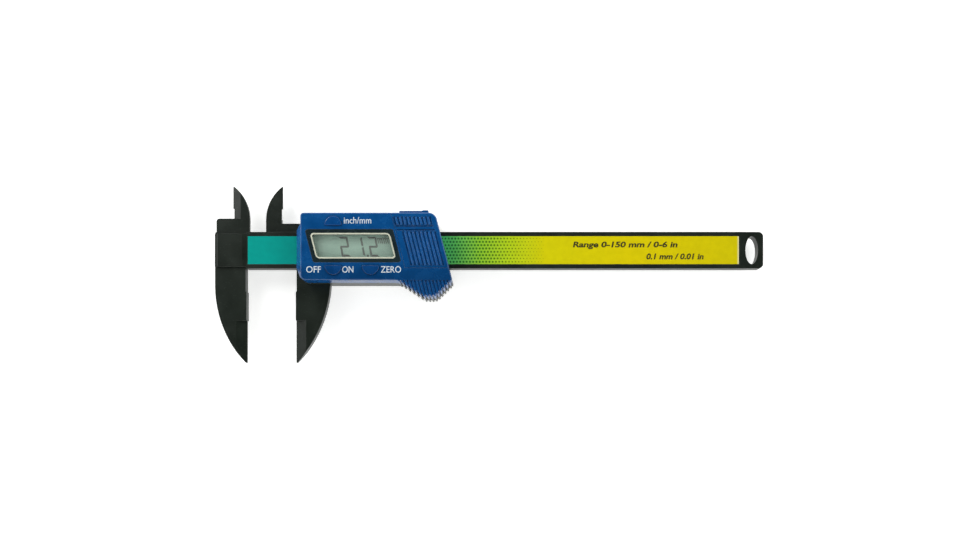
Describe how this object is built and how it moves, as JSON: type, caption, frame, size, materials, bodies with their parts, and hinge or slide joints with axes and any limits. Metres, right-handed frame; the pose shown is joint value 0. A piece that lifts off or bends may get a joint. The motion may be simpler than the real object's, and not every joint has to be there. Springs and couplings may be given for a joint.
{
  "type": "digital caliper",
  "caption": "Digital caliper with a moulded black beam and jaws, a sliding blue display housing with keys and ribs, and a printed coloured scale strip.",
  "frame": {"origin": "below the middle of the whole caliper at the drawn reading, level with the back cover's rest face", "axes": "+X along the beam away from the jaws, +Y from the outer jaw tips towards the inside jaw tips, +Z from the back cover up to the display"},
  "size_m": [0.2358, 0.076, 0.0155],
  "materials": {
    "beam_composite": "satin moulded",
    "frame_composite": "satin moulded",
    "blue_shell": "satin moulded",
    "blue_key": "satin moulded",
    "black_bezel": "gloss moulded",
    "clear_window": "clear",
    "lcd_glass": "grey-green display",
    "printed_label": "printed film",
    "board_laminate": "solder mask",
    "chip_resin": "matte",
    "elastomer": "matte",
    "spring_bronze": "rolled",
    "screw_steel": "zinc plated",
    "dome_steel": "polished",
    "cell_steel": "nickel plated"
  },
  "bodies": {
    "beam_body": {"beam": "beam_composite", "scale_board": "board_laminate", "scale_label": "printed_label"},
    "slider_body": {"slider_frame": "frame_composite", "back_cover": "frame_composite", "back_cover_screws": "screw_steel", "gib_spring": "spring_bronze", "front_housing": "blue_shell", "housing_screws": "screw_steel", "lcd_bezel": "black_bezel", "lcd_window": "clear_window", "lcd_panel": "lcd_glass", "zebra_strip": "elastomer", "main_board": "board_laminate", "controller_chip": "chip_resin", "board_screws": "screw_steel", "contact_domes": "dome_steel", "battery": "cell_steel", "battery_contact_plus": "spring_bronze", "battery_contact_minus": "spring_bronze"},
    "battery_cover_body": {"battery_cover": "blue_shell"},
    "unit_button_body": {"unit_button": "blue_key"},
    "power_button_body": {"power_button": "blue_key"},
    "zero_button_body": {"zero_button": "blue_key"}
  },
  "joints": [
    {"name": "slider_slide", "type": "slide", "parent": "beam_body", "child": "slider_body", "axis": [1, 0, 0], "range_m": [-0.0212, 0.1288]},
    {"name": "battery_cover_slide", "type": "slide", "parent": "slider_body", "child": "battery_cover_body", "axis": [1, 0, 0], "range_m": [0, 0.028]},
    {"name": "unit_button_press", "type": "slide", "parent": "slider_body", "child": "unit_button_body", "axis": [0, 0, -1], "range_m": [0, 0.0006], "stiffness_N_per_m": 400, "springref_m": -0.0004},
    {"name": "power_button_press", "type": "slide", "parent": "slider_body", "child": "power_button_body", "axis": [0, 0, -1], "range_m": [0, 0.0006], "stiffness_N_per_m": 400, "springref_m": -0.0004},
    {"name": "zero_button_press", "type": "slide", "parent": "slider_body", "child": "zero_button_body", "axis": [0, 0, -1], "range_m": [0, 0.0006], "stiffness_N_per_m": 400, "springref_m": -0.0004}
  ]
}
